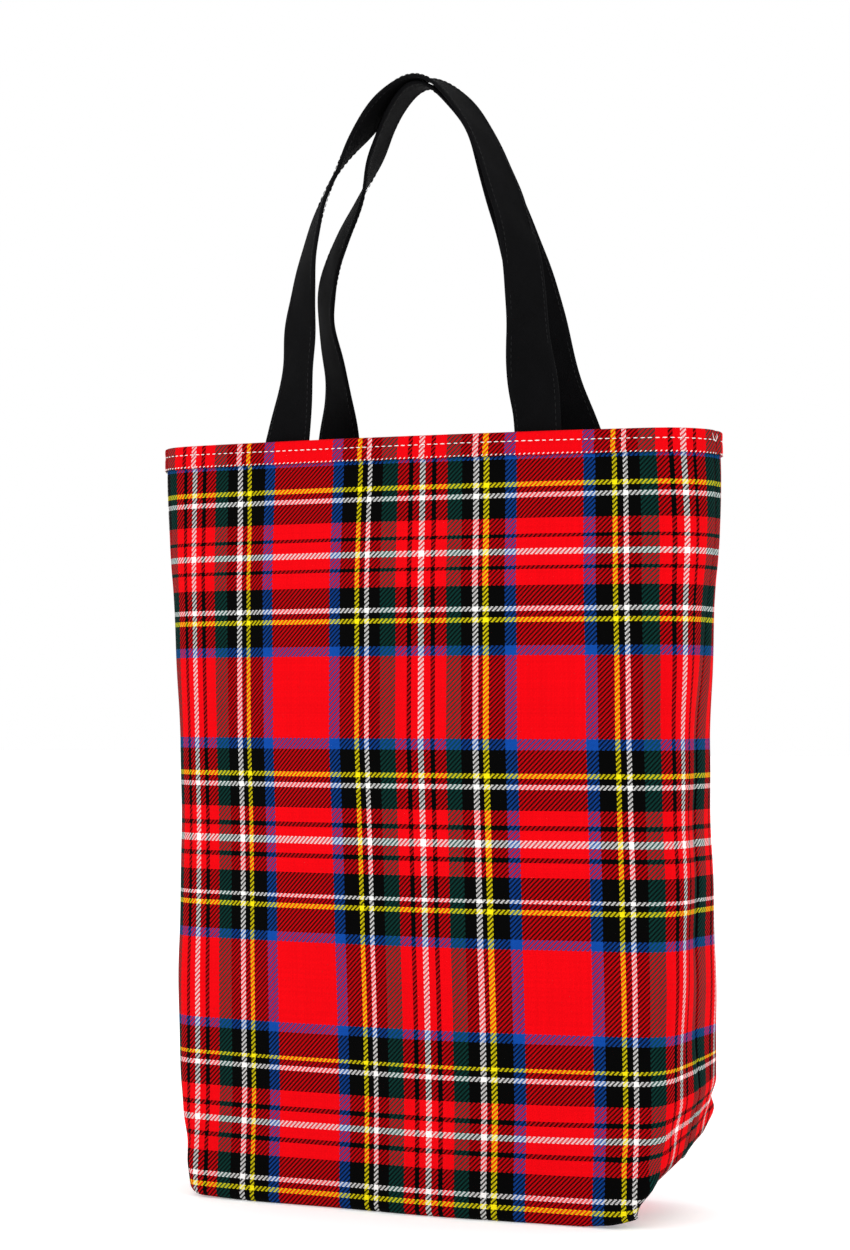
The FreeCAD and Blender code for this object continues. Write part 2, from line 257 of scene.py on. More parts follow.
def side_sway(across, height):
    """How far the cloth by the side seams stands out to the sides, in mm: small waves, a swell
    below the hem, a draw at the mouth and a slump low down on the left. All of it grows with
    the fifth power of the place across."""
    waves = 0.7 * np.sin(height / 21) + 0.5 * np.sin(height / 9.5 + 1)
    waves = waves * smooth(height / 60) * smooth((TOP - height) / 60)
    swell = 3.6 * bump(height, 372.0, 75.0) - 2.8 * bump(height, 432.0, 52.0)
    slump = np.where(across < 0, 8.0, 0.0) * bump(height, 95.0, 95.0)
    return (waves + swell + slump) * (across / HALF_WIDTH) ** 5


def corner_tuck(across, height):
    """How far the cloth below the corner folds is drawn in, in mm: slope * (b + sqrt(b^2 + 3))
    / 2, with b the height below the fold. At the right end the fold eases up close above the
    foot and the cloth turns sharply under; at the left end it climbs straight from the base
    corner to the seam."""
    right = across > 0
    right_high, right_start, right_climb, right_slope = RIGHT_FOLD
    left_high, left_start, left_climb, left_slope = LEFT_FOLD
    fold = np.where(right, right_high * smooth((across - right_start) / right_climb),
                    left_high * np.clip((-across - left_start) / left_climb, 0, 1))
    below = fold - height
    slope = np.where(right, right_slope, left_slope)
    return slope * 0.5 * (below + np.sqrt(below ** 2 + 3.0)) * (fold > 0.01)


def bag_point(across, height, out=0.0, back=False, above=None):
    """A place on a panel, in mm: the front curve, moved out along its own outward direction by
    "out" and the drape, and in by the seam's roll, the corner tuck and the foot's fold, then
    shifted sideways with the slumped base and the side sway. The back is the front turned over
    the middle plane. "above" is the height over the foot; the fold there is a quarter circle.
    The right end of the base is drawn up later, when the piece is made."""
    across, height = np.broadcast_arrays(np.asarray(across, float), np.asarray(height, float))
    x, y, out_x, out_y = section(across, height)
    seam_roll = 1.3 * smooth((np.abs(across) - (HALF_WIDTH - 5)) / 5)
    off = out + drape(across, height, 2.6 if back else 0.4) - seam_roll
    off = off - corner_tuck(across, height)
    if above is not None:
        radius = bpy.context.scene.tote_bag.fold_radius / MM
        low = np.clip(radius - above, 0, radius)
        off = off - (radius - np.sqrt(radius ** 2 - low ** 2))
    shift = bpy.context.scene.tote_bag.base_shift / MM * (1 - height * MM / HEM_TOP)
    x = x + out_x * off + shift + side_sway(across, height)
    y = np.minimum(y + out_y * off, -GAP / 2)
    return np.stack([x, -y if back else y, height + 0 * x], -1)


def base_height(x, y):
    """Height of the base underside in mm: flat, but drawn up towards the middle of its left end
    by rise * ease of the distance along * (1 - ease of the distance from the middle plane)."""
    sizes = bpy.context.scene.tote_bag
    flat, climb, half_depth = 92.0, 48.0, 62.0
    along = smooth((np.abs(x - sizes.base_shift / MM) - flat) / climb)
    rise = np.where(x > 0, 0.0, 1.0) * sizes.base_rise / MM
    return rise * along * (1 - smooth(np.abs(y) / half_depth))


def drawn_up(points):
    """The right end of the base hangs askew: towards its back corner the cloth is drawn up and
    over, by its most times share = ease of x over the end * (1 - ease of the height) * the way
    from the front to the back."""
    x, y, z = points[..., 0], points[..., 1], points[..., 2]
    start, reach, high, half_depth = 60.0, 78.0, 120.0, 54.0
    share = (smooth((x - start) / reach) * (1 - smooth(z / high))
             * np.clip((y + half_depth) / (2 * half_depth), 0, 1))
    return points + share[..., None] * DRAWN_UP


def pattern_across(across, height, back):
    """Where a place lies on the woven pattern, across: the cloth was cut slightly off the
    thread, so the stripes drift sideways below the mouth by 16.5 t - 12.8 t^2 mm, with t the
    share of the way down. The back panel was cut from the same cloth one pattern step on."""
    down = 1 - np.clip(height * MM / HEM_TOP, 0, 1)
    drift = DRIFT[0] * down - DRIFT[1] * down ** 2
    return (BACK_STEP - across if back else across) - drift


# ---- meshes ---------------------------------------------------------------------------------
def grid_quads(index, wrap=False):
    """Quads between neighbouring entries of a table of vertex numbers. Wrap closes its rows."""
    if wrap:
        index = np.concatenate([index, index[:1]], 0)
    return np.stack([index[:-1, :-1], index[:-1, 1:], index[1:, 1:], index[1:, :-1]],
                    -1).reshape(-1, 4)


def vertex_normals(points, quads):
    """The mean direction of the faces round each vertex."""
    corners = points[quads]
    face = np.cross(corners[:, 2] - corners[:, 0], corners[:, 3] - corners[:, 1])
    normals = np.zeros_like(points)
    for corner in range(4):
        np.add.at(normals, quads[:, corner], face)
    return normals / np.linalg.norm(normals, axis=1, keepdims=True)


def rim_edges(quads):
    """The edges that only one face has, as pairs of vertex numbers, with the face and the
    corner where each one starts."""
    ends = np.stack([quads, np.roll(quads, -1, 1)], -1).reshape(-1, 2)
    key = ends.min(1).astype(np.int64) * (quads.max() + 1) + ends.max(1)
    order, count = np.unique(key, return_index=True, return_counts=True)[1:]
    places = order[count == 1]
    return ends[places], places // 4, places % 4


def piece(name, points, faces, material, uv=None):
    """Puts a new mesh object into the scene, with the right end of its base drawn up. Points
    are in mm; uv has one pair for each face corner."""
    mesh = bpy.data.meshes.new(name)
    mesh.from_pydata((drawn_up(points) * MM).tolist(), [], [list(map(int, face)) for face in faces])
    mesh.polygons.foreach_set("use_smooth", [True] * len(mesh.polygons))
    if uv is not None:
        layer = mesh.uv_layers.new(name="cloth")
        layer.data.foreach_set("uv", np.asarray(uv, np.float32).ravel())
    mesh.materials.append(material)
    mesh.update()
    made = bpy.data.objects.new(name, mesh)
    bpy.context.scene.collection.objects.link(made)
    return made


def sweep(table, uv_table):
    """A closed profile carried along a path, with flat ends. The table of points has one row
    for each profile point and one column for each place on the path."""
    rows, columns = table.shape[:2]
    index = np.arange(rows * columns).reshape(rows, columns)
    quads = grid_quads(index, wrap=True)
    uv_index = np.arange((rows + 1) * columns).reshape(rows + 1, columns)
    uv = uv_table.reshape(-1, 2)[grid_quads(uv_index)].reshape(-1, 2)
    ends = [index[::-1, 0], index[:, -1]]
    uv_ends = [uv_table[:rows][::-1, 0], uv_table[:rows, -1]]
    return (table.reshape(-1, 3), [*quads, *ends], np.concatenate([uv, *uv_ends]))


def stitches(starts, ends, outward, radius, rise):
    """Many short stitches: each is a spindle of six sides along start + (end - start) * t,
    raised outwards by rise * (1 - (2t - 1)^2), with rings at 0.15, 0.5 and 0.85 of its length
    and a point at each end."""
    share = np.array([0.0, 0.15, 0.5, 0.85, 1.0])
    girth = np.array([0.0, 0.8, 1.0, 0.8, 0.0]) * radius
    along = ends - starts
    spine = starts[:, None] + along[:, None] * share[:, None]
    spine = spine + outward[:, None] * (rise * (1 - (2 * share - 1) ** 2))[:, None]
    unit = along / np.linalg.norm(along, axis=1, keepdims=True)
    side = np.cross(unit, outward)
    side = side / np.linalg.norm(side, axis=1, keepdims=True)
    lift = np.cross(side, unit)
    angle = np.arange(6) * math.tau / 6
    ring = side[:, None] * np.cos(angle)[:, None] + lift[:, None] * np.sin(angle)[:, None]
    rings = spine[:, 1:4, None] + ring[:, None] * girth[1:4, None, None]
    points = np.concatenate([spine[:, :1], rings.reshape(len(starts), 18, 3), spine[:, 4:]], 1)
    turn = np.roll(np.arange(6), -1)
    first = np.stack([np.zeros(6, int), 1 + turn, 1 + np.arange(6)], -1)
    last = np.stack([np.full(6, 19), 13 + np.arange(6), 13 + turn], -1)
    belts = [np.stack([low + np.arange(6), low + turn, low + 6 + turn, low + 6 + np.arange(6)], -1)
             for low in (1, 7)]
    base = np.arange(len(starts))[:, None, None] * 20
    faces = [tuple(face) for part in (first, *belts, last)
             for face in (part + base).reshape(-1, part.shape[1])]
    return points.reshape(-1, 3), faces


def joined(parts):
    """Several (points, faces) meshes as one."""
    faces, start = [], 0
    for points, part in parts:
        faces += [tuple(v + start for v in face) for face in part]
        start += len(points)
    return np.concatenate([points for points, part in parts]), faces


def tube(path, radius, sides=6):
    """A thin round thread along a path of points. Its girth is the radius times the sine of the
    way along to the power 0.3, so it narrows at both ends."""
    along = np.gradient(path, axis=0)
    along = along / np.linalg.norm(along, axis=1, keepdims=True)
    side = np.cross(along, (0.31, 0.82, 0.48))
    side = side / np.linalg.norm(side, axis=1, keepdims=True)
    lift = np.cross(side, along)
    girth = radius * np.sin(np.linspace(0.12, math.pi - 0.12, len(path))) ** 0.3
    angle = np.arange(sides) * math.tau / sides
    rings = (path[:, None] + girth[:, None, None] * (side[:, None] * np.cos(angle)[:, None]
                                                     + lift[:, None] * np.sin(angle)[:, None]))
    index = np.arange(rings.shape[0] * sides).reshape(-1, sides)
    closed = np.concatenate([index, index[:, :1]], 1)
    faces = [tuple(q[::-1]) for q in grid_quads(closed)]
    return rings.reshape(-1, 3), faces + [tuple(index[0]), tuple(index[-1][::-1])]


# ---- materials ------------------------------------------------------------------------------
def add_node(tree, kind, inputs=(), **settings):
    """Adds a node with its settings; each input gets a link or a value."""
    node = tree.nodes.new(kind)
    for name, value in settings.items():
        setattr(node, name, value)
    for key, value in dict(inputs).items():
        if isinstance(value, bpy.types.NodeSocket):
            tree.links.new(value, node.inputs[key])
        else:
            node.inputs[key].default_value = value
    return node


def maths(tree, operation, *values):
    """The result of one sum."""
    return add_node(tree, "ShaderNodeMath", enumerate(values), operation=operation).outputs[0]


def blank_material(name):
    """A new material with no nodes yet, and its node tree."""
    material = bpy.data.materials.new(name)
    material.use_nodes = True
    material.node_tree.nodes.clear()
    return material, material.node_tree


def ranged(tree, value, low, high, full=1.0):
    """Maps a value that runs from 0 to full to the range from low to high."""
    return add_node(tree, "ShaderNodeMapRange", {"Value": value, "From Max": full,
                                                 "To Min": low, "To Max": high}).outputs[0]


def scaled(tree, tone, level):
    """A colour times a number."""
    return add_node(tree, "ShaderNodeVectorMath", {0: tone, "Scale": level},
                    operation="SCALE").outputs[0]


def cloth_place(tree):
    """The place on the flat cloth, in mm along and across its threads."""
    place = add_node(tree, "ShaderNodeUVMap", uv_map="cloth").outputs["UV"]
    return add_node(tree, "ShaderNodeSeparateXYZ", {"Vector": place}).outputs


def object_place(tree):
    """The place in the object, in metres."""
    return add_node(tree, "ShaderNodeTexCoord").outputs["Object"]


def finish_material(tree, base, height, distance, strength, roughness, specular):
    """Cloth shader with a relief from its threads."""
    relief = add_node(tree, "ShaderNodeBump", {"Height": height, "Distance": distance,
                                               "Strength": strength})
    shader = add_node(tree, "ShaderNodeBsdfPrincipled",
                      {"Base Color": base, "Roughness": roughness,
                       "Specular IOR Level": specular, "Normal": relief.outputs["Normal"]})
    add_node(tree, "ShaderNodeOutputMaterial", {"Surface": shader.outputs["BSDF"]})


def yarn_ramp(tree, position, sett, yarns):
    """Yarn colour by place in the half repeat."""
    ramp = add_node(tree, "ShaderNodeValToRGB", {"Fac": position})
    stops = ramp.color_ramp
    stops.interpolation = "CONSTANT"
    total = sum(width for yarn, width in sett)
    place = 0.0
    for number, (yarn, width) in enumerate(sett):
        stop = stops.elements[0] if number == 0 else stops.elements.new(place / total)
        stop.color = (*getattr(yarns, yarn), 1.0)
        place += width
    stops.elements.remove(stops.elements[-1])
    return ramp.outputs["Color"]


def tartan_twill():
    """Brushed cotton tartan, woven in a 2/2 twill: every yarn passes over two and under two of
    the others, one step on from row to row, which draws fine diagonals where two colours
    cross and leaves solid colour where they match. Matt, with a soft nap and hardly any gloss.
    The real yarns lie 0.57 mm apart; they are drawn at 0.67 mm so that the diagonals show."""
    yarns = bpy.context.scene.tote_yarns
    material, tree = blank_material("tartan_cotton_twill")
    pitch = yarns.thread_pitch / MM
    parts = cloth_place(tree)
    threads, colours, rounds = [], [], []
    for axis, sett, line, half in (("X", WARP_SETT, yarns.warp_line, yarns.warp_repeat),
                                   ("Y", WEFT_SETT, yarns.weft_line, yarns.weft_repeat)):
        count = maths(tree, "DIVIDE", parts[axis], pitch)
        thread = maths(tree, "FLOOR", count)
        within = maths(tree, "SUBTRACT", count, thread)
        middle = maths(tree, "MULTIPLY", maths(tree, "ADD", thread, 0.5), pitch)
        from_red = maths(tree, "SUBTRACT", middle, (line - half) / MM)
        position = maths(tree, "DIVIDE", maths(tree, "PINGPONG", from_red, half / MM), half / MM)
        yarn = yarn_ramp(tree, position, sett, yarns)
        # each yarn took the dye a little differently
        shade = add_node(tree, "ShaderNodeTexWhiteNoise", {"W": thread}, noise_dimensions="1D")
        threads.append(thread)
        colours.append(scaled(tree, yarn, ranged(tree, shade.outputs["Value"], 0.90, 1.0)))
        rounds.append(maths(tree, "SINE", maths(tree, "MULTIPLY", within, math.pi)))
    step = maths(tree, "FLOORED_MODULO", maths(tree, "SUBTRACT", *threads), 4.0)
    warp_on_top = maths(tree, "LESS_THAN", step, 1.5)
    # the nap of the crossing yarn lies over each float and tints it by a sixth, mixed as the
    # eye judges brightness
    seen = [add_node(tree, "ShaderNodeGamma", {"Color": c, "Gamma": 1 / 2.2}).outputs[0]
            for c in colours]
    share = maths(tree, "MULTIPLY_ADD", warp_on_top, 0.66, 0.17)
    mixed = add_node(tree, "ShaderNodeMix", {"Factor": share, "A": seen[1], "B": seen[0]},
                     data_type="RGBA")
    cloth = add_node(tree, "ShaderNodeGamma", {"Color": mixed.outputs[2], "Gamma": 2.2})
    relief = add_node(tree, "ShaderNodeMix", {"Factor": warp_on_top, 2: rounds[1],
                                              3: rounds[0]}, data_type="FLOAT")
    # painted shade and light on the round yarns: the furrows between them are painted darker and
    # their crowns a touch lighter; and the nap is slightly uneven
    furrow_painted_shade = ranged(tree, relief.outputs[0], 0.84, 1.04)
    nap = add_node(tree, "ShaderNodeTexNoise", {"Vector": object_place(tree), "Scale": 42.0,
                                                "Detail": 3.0})
    nap_level = ranged(tree, nap.outputs["Fac"], 0.95, 1.05)
    # where the colours differ, the edges of each float are darkened: partly the crossing yarn's
    # fuzz covering them, partly painted shade where the yarns shadow one another
    contrast = add_node(tree, "ShaderNodeVectorMath", {0: colours[0], 1: colours[1]},
                        operation="DISTANCE")
    edge = maths(tree, "SUBTRACT", 1.0, relief.outputs[0])
    covered_and_shaded = maths(tree, "MULTIPLY", maths(tree, "MINIMUM", contrast.outputs["Value"], 0.9), edge)
    narrowed_and_shaded = maths(tree, "MULTIPLY_ADD", covered_and_shaded, -0.45, 1.0)
    tone = maths(tree, "MULTIPLY", maths(tree, "MULTIPLY", furrow_painted_shade, narrowed_and_shaded), nap_level)
    base = scaled(tree, cloth.outputs[0], tone)
    finish_material(tree, base, relief.outputs[0], distance=0.00018, strength=0.45,
                    roughness=0.9, specular=0.03)
    return material


def strap_twill():
    """Black cotton strapping, a folded twill tape: nearly black, with fine slanting ribs whose
    crests carry a painted highlight, and a slightly greyer wear along its folded edges."""
    yarns = bpy.context.scene.tote_yarns
    strap = bpy.context.scene.tote_straps
    material, tree = blank_material("black_cotton_twill_tape")
    parts = cloth_place(tree)
    slant = maths(tree, "ADD", parts["X"], parts["Y"])
    # real ribs are 0.6 mm apart; drawn at 1.1 mm so that they show
    rib = maths(tree, "SINE", maths(tree, "MULTIPLY", slant, math.tau / 1.1))
    relief = maths(tree, "MULTIPLY_ADD", rib, 0.5, 0.5)
    fluff = add_node(tree, "ShaderNodeTexNoise", {"Vector": object_place(tree), "Scale": 95.0,
                                                  "Detail": 4.0})
    edge = maths(tree, "DIVIDE", maths(tree, "ABSOLUTE", parts["Y"]), strap.width / 2 / MM)
    worn = maths(tree, "POWER", maths(tree, "MINIMUM", edge, 1.0), 9.0)
    light = maths(tree, "MULTIPLY_ADD", worn, 0.55, fluff.outputs["Fac"])
    # painted highlight: the rib crests are painted lighter, over the wear along the edges and the
    # uneven fluff
    wear_fluff_and_rib_highlight = maths(tree, "MULTIPLY_ADD", relief, 0.3, light)
    level = ranged(tree, wear_fluff_and_rib_highlight, 0.6, 2.1, full=1.6)
    finish_material(tree, scaled(tree, yarns.strap, level), relief, distance=0.00022,
                    strength=0.5, roughness=0.85, specular=0.05)
    return material


def sewing_thread(name, tone, specular):
    """Twisted polyester sewing thread: its plies show as fine slanting turns, with painted shade in
    the grooves between them, slightly glossy.
    """
    material, tree = blank_material(name)
    # real plies turn every 0.7 mm; drawn at 1 mm
    ply = add_node(tree, "ShaderNodeTexWave", {"Vector": object_place(tree), "Scale": 320.0,
                                               "Distortion": 1.0}, bands_direction="DIAGONAL")
    # painted shade: the grooves between the plies are painted darker
    base = scaled(tree, tone, ranged(tree, ply.outputs["Fac"], 0.86, 1.0))
    finish_material(tree, base, ply.outputs["Fac"], distance=0.0001, strength=0.4,
                    roughness=0.55, specular=specular)
    return material


def material_of(name):
    """One of the bag's materials, made when it is first wanted."""
    yarns = bpy.context.scene.tote_yarns
    makers = {
        "tartan_cotton_twill": tartan_twill,
        "black_cotton_twill_tape": strap_twill,
        "white_polyester_thread": lambda: sewing_thread(name, yarns.stitch, 0.3),
        "black_polyester_thread": lambda: sewing_thread(name, yarns.dark_stitch, 0.2),
    }
    return bpy.data.materials.get(name) or makers[name]()


# ---- the cloth bag --------------------------------------------------------------------------
def panel_mesh(back):
    """One panel, all one cloth: its wall and half of the base.

    The wall is a grid over (across, height above the foot); its foot is a quarter round. The
    base is a patch stretched between the foot of the wall on three sides and the bottom seam,
    with its height from base_height. A second skin lies one cloth thickness inside.
    """
    sizes = bpy.context.scene.tote_bag
    radius = sizes.fold_radius / MM
    top = (HEM_TOP - 2 * sizes.cloth) / MM - GAP         # clear of the hem's fold
    across = np.linspace(-HALF_WIDTH, HALF_WIDTH, COLUMNS)
    turn = np.linspace(0, math.pi / 2, FOLD_ROWS + 1)[:-1]
    above = np.concatenate([radius * (1 - np.cos(turn)), np.linspace(radius, top, WALL_ROWS)])
    cloth = np.concatenate([radius * (1 - math.pi / 2 + turn), above[FOLD_ROWS:]])
    foot_x, foot_y = section(across, np.zeros_like(across))[:2]
    foot = base_height(foot_x + sizes.base_shift / MM, foot_y)
    height = above[:, None] + foot * (1 - above[:, None] / top)
    wide = np.broadcast_to(across, height.shape)
    wall = bag_point(wide, height, 0.0, back, above[:, None] + 0 * height)
    index = np.arange(wall[..., 0].size).reshape(height.shape)
    wall_uv = np.stack([pattern_across(wide, height, back),
                        cloth[:, None] + foot * (1 - above[:, None] / top)], -1)

    # base patch: rows run from the foot of the wall to the bottom seam
    corner = CORNER_COLUMNS
    front = wall[0, corner:COLUMNS - corner]
    left, right = wall[0, :corner + 1][::-1], wall[0, COLUMNS - 1 - corner:]

    along = np.linspace(0, 1, len(front))[None, :, None]
    down = np.linspace(0, 1, corner + 1)[:, None, None]
    seam = left[-1] + (right[-1] - left[-1]) * along[0]

    def patch(front_edge, seam_edge, left_edge, right_edge):
        """A surface stretched between four edges: both pairs blended, less the corners."""
        corners = ((1 - down) * ((1 - along) * front_edge[0] + along * front_edge[-1])
                   + down * ((1 - along) * seam_edge[0] + along * seam_edge[-1]))
        return ((1 - down) * front_edge[None] + down * seam_edge[None]
                + (1 - along) * left_edge[:, None] + along * right_edge[:, None] - corners)

    base = patch(front, seam, left, right)
    level = [base_height(edge[:, :1], edge[:, 1:2]) for edge in (front, seam, left, right)]
    level[1] = (1 - along[0]) * level[2][-1] + along[0] * level[3][-1]
    own = base_height(base[..., 0], base[..., 1])
    base[..., 2] += own - patch(*level)[..., 0]
    ripple = (smooth(down[..., 0] / 0.3) * smooth((1 - down[..., 0]) / 0.2)
              * smooth(along[..., 0] / 0.1) * smooth((1 - along[..., 0]) / 0.1))
    base[..., 2] += 0.6 * ripple * (1 + np.sin(base[..., 0] / 13 + base[..., 1] / 8))
    base[..., 2] = np.maximum(base[..., 2], 0.0)
    patch_index = np.full(base.shape[:2], -1)
    patch_index[0] = index[0, corner:COLUMNS - corner]
    patch_index[:, 0] = index[0, :corner + 1][::-1]
    patch_index[:, -1] = index[0, COLUMNS - 1 - corner:]
    fresh = patch_index < 0
    patch_index[fresh] = index.size + np.arange(fresh.sum())
    points = np.concatenate([wall.reshape(-1, 3), base[fresh]])
    side = -1 if back else 1
    shift = sizes.base_shift / MM
    foot_uv = wall_uv[0, corner:COLUMNS - corner]
    base_uv = np.stack([foot_uv[None, :, 0] + 0 * base[..., 0],
                        foot_uv[None, :, 1] - side * (base[..., 1] - base[:1, :, 1])], -1)
    spread = (base[..., 0] - shift) * side
    base_uv[..., 0] = spread + (foot_uv[None, :, 0] - spread[:1])

    # faces that look outwards: the wall's rows run upwards, the base's towards the seam
    wall_quads = grid_quads(index)
    base_quads = grid_quads(patch_index)
    base_corners = grid_quads(np.arange(fresh.size).reshape(fresh.shape))
    uv = np.concatenate([wall_uv.reshape(-1, 2)[wall_quads],
                         base_uv.reshape(-1, 2)[base_corners]])
    base_quads = base_quads[:, ::-1]
    uv[len(wall_quads):] = uv[len(wall_quads):, ::-1]
    quads = np.concatenate([wall_quads, base_quads])
    if back:
        quads, uv = quads[:, ::-1], uv[:, ::-1]

    # the inner skin, and the rim that joins both skins
    inner = points - vertex_normals(points, quads) * sizes.cloth / MM
    inner[:, 1] = np.maximum(inner[:, 1], GAP / 2) if back else np.minimum(inner[:, 1], -GAP / 2)
    inner[:, 2] = np.maximum(inner[:, 2], FLOOR_GAP)
    edges, face, start = rim_edges(quads)
    count = len(points)
    rim = np.stack([edges[:, 1], edges[:, 0], edges[:, 0] + count, edges[:, 1] + count], -1)
    near, far = uv[face, start], uv[face, (start + 1) % 4]
    rim_uv = np.stack([far, near, near, far], 1)
    faces = np.concatenate([quads, quads[:, ::-1] + count, rim])
    every_uv = np.concatenate([uv, uv[:, ::-1], rim_uv])
    return np.concatenate([points, inner]), faces, every_uv


def hem_profile():
    """Outline of the turned hem as (out, height) in mm: up its outer leg, over the rounded top
    and down its inner leg, then back up inside and down again round the panel's top edge. Both
    legs are drawn in a little where the stitch rows hold them."""
    sizes = bpy.context.scene.tote_bag
    cloth = sizes.cloth / MM
    outer, inner = cloth + HEM_GAP, -2 * cloth - HEM_GAP
    low, inside_low = TOP - sizes.hem_outside / MM, TOP - sizes.hem_inside / MM
    rows = (TOP - sizes.upper_row / MM, TOP - sizes.lower_row / MM)

    def leg(start, end, count):
        """Heights along a leg, and how far the stitch rows hold it in at each."""
        heights = np.linspace(start, end, count)
        held = sum(bump(heights, row, 1.8) for row in rows)
        return heights, 0.28 * held

    up, up_held = leg(low + 0.35, TOP - HEM_ROUND, 16)
    down, down_held = leg(TOP - HEM_ROUND, inside_low + 0.35, 18)
    middle, half = (outer + inner) / 2, (outer - inner) / 2
    arch = np.linspace(0, math.pi, 9)[1:-1]
    return np.concatenate([
        np.stack([outer - up_held, up], -1),
        np.stack([middle + half * np.cos(arch), TOP - HEM_ROUND + HEM_ROUND * np.sin(arch)], -1),
        np.stack([inner + down_held, down], -1),
        [[inner + 0.35, inside_low], [-cloth - HEM_GAP - 0.35, inside_low],
         [-cloth - HEM_GAP, inside_low + 0.35]],
        np.stack([np.full(6, -cloth - HEM_GAP),
                  np.linspace(inside_low + 3, TOP - cloth - 0.5, 6)], -1),
        [[-cloth / 2, TOP - cloth]],
        np.stack([np.full(5, HEM_GAP), np.linspace(TOP - cloth - 0.5, low + 1, 5)], -1),
        [[HEM_GAP + 0.1, low + 0.2], [outer - 0.4, low]]])


def hem_mesh(back):
    """The hem's outline carried along the mouth from seam to seam, with its raw lower edge
    frayed by 0.25 mm times two sines."""
    outline = hem_profile()
    across = np.linspace(-HALF_WIDTH, HALF_WIDTH, 2 * COLUMNS - 1)
    out, height = outline[:, :1], outline[:, 1:]
    lower_edge = (height < TOP - 12) * (out > 0.3)
    frayed = 0.25 * np.sin(across / 3.1) * np.sin(across / 7.7) * lower_edge
    table = bag_point(across[None] + 0 * height, height + frayed, out, back)
    table[..., 1] *= np.where(np.abs(table[..., 1]) < GAP / 2, 0, 1)
    girth = np.concatenate([[0], np.cumsum(np.linalg.norm(np.diff(
        np.concatenate([outline, outline[:1]]), axis=0), axis=1))])
    red_start = 424.0        # the hem is cut from the pattern's wide red band
    uv = np.stack(np.broadcast_arrays(pattern_across(across, TOP, back)[None],
                                      red_start + girth[:, None]), -1)
    points, faces, uv = sweep(table, uv)
    if not back:
        return points, faces, uv
    # the back is a mirror image, so its faces and their corners run the other way
    counts = np.array([len(face) for face in faces])
    starts = np.concatenate([[0], np.cumsum(counts)[:-1]])
    order = np.concatenate([start + np.arange(n)[::-1] for start, n in zip(starts, counts)])
    return points, [face[::-1] for face in faces], uv[order]


def row_stitches(drop, length, pitch, slant, out, side, back, jitter):
    """A row of stitches along the hem: each lies between two places on it, length * (cos, sin)
    of its slant apart, on the outer face (side 1) or the inner face (side -1)."""
    count = int(2 * (HALF_WIDTH - 3) / pitch)
    random = np.random.default_rng(int(drop * 100) + 7 * back + 3 * (side > 0))
    middle = (np.arange(count) - (count - 1) / 2) * pitch + random.uniform(-1, 1, count) * jitter
    height = TOP - drop + random.uniform(-1, 1, count) * jitter + 0.18 * np.sin(middle / 37)
    reach = length * (1 + random.uniform(-0.12, 0.12, count)) / 2
    tilt = slant + random.uniform(-0.06, 0.06, count)
    ends = [bag_point(middle + way * reach * np.cos(tilt), height + way * reach * np.sin(tilt),
                      out, back) for way in (-1, 1)]
    outward = (bag_point(middle, height, out + side, back)
               - bag_point(middle, height, out, back))
    outward = outward / np.linalg.norm(outward, axis=1, keepdims=True)
    return stitches(*ends, outward, radius=0.29, rise=0.12)


def hem_stitch_mesh(back):
    """Both rows on both faces of the hem, with the lower row's stitches slanting where the
    bobbin thread pulls them through."""
    sizes = bpy.context.scene.tote_bag
    cloth = sizes.cloth / MM
    upper, lower = sizes.upper_row / MM, sizes.lower_row / MM
    outer, inner = cloth + HEM_GAP - 0.12, -2 * cloth - HEM_GAP + 0.12
    # length, pitch and slant of the stitches, then their face and how uneven they are
    rows = [row_stitches(upper, 2.7, 4.0, 0.0, outer, 1, back, 0.05),
            row_stitches(lower, 1.45, 2.75, 0.62, outer, 1, back, 0.07),
            row_stitches(upper, 2.7, 4.0, 0.0, inner, -1, back, 0.05),
            row_stitches(lower, 1.8, 2.35, 0.2, inner, -1, back, 0.06)]
    return joined(rows)


def overlock(edge, inward, spread):
    """Overlock thread wound over a raw edge: slanting stitches from the edge to 'inward' of it
    on both faces. The edge is a line of points, and spread points square out of the cloth."""
    step = 0.5 * np.gradient(edge, axis=0)
    radius, rise, past = 0.3, 0.1, 0.04
    square = spread / np.linalg.norm(spread, axis=-1, keepdims=True)
    rows = [stitches(edge + spread * face, edge + inward + spread * face + step, square * face,
                     radius, rise) for face in (-1, 1)]
    rows.append(stitches(edge - spread - inward * past, edge + spread - inward * past,
                         -inward / np.linalg.norm(inward, axis=-1, keepdims=True), radius, rise))
    return joined(rows)


def ruffle(count):
    """How far a raw edge waves off its plane, in mm, along its share of the length:
    0.55 * (sin(37 s + 1) + 0.6 sin(83 s))."""
    length = np.linspace(0, 1, count)
    return 0.55 * (np.sin(length * 37 + 1) + 0.6 * np.sin(length * 83))


def strip_mesh(root, tip, square, half_thick, uv_root, uv_tip):
    """A strip of two pressed cloth layers between a root line and a tip line, as a closed
    profile carried along the seam. It waves off its plane by the ruffle times the square of
    the share of the way to its tip."""
    share = np.linspace(0, 1, 7)
    line = root[None] + (tip - root)[None] * share[:, None, None]
    line = line + square[None] * (ruffle(len(root))[None] * share[:, None] ** 2)[..., None]
    upper = line + square[None] * half_thick
    lower = (line - square[None] * half_thick)[::-1]
    table = np.concatenate([upper, lower])
    uv_line = uv_root[None] + (uv_tip - uv_root)[None] * share[:, None, None]
    uv = np.concatenate([uv_line, uv_line[::-1], uv_line[:1]])
    return sweep(table, uv)


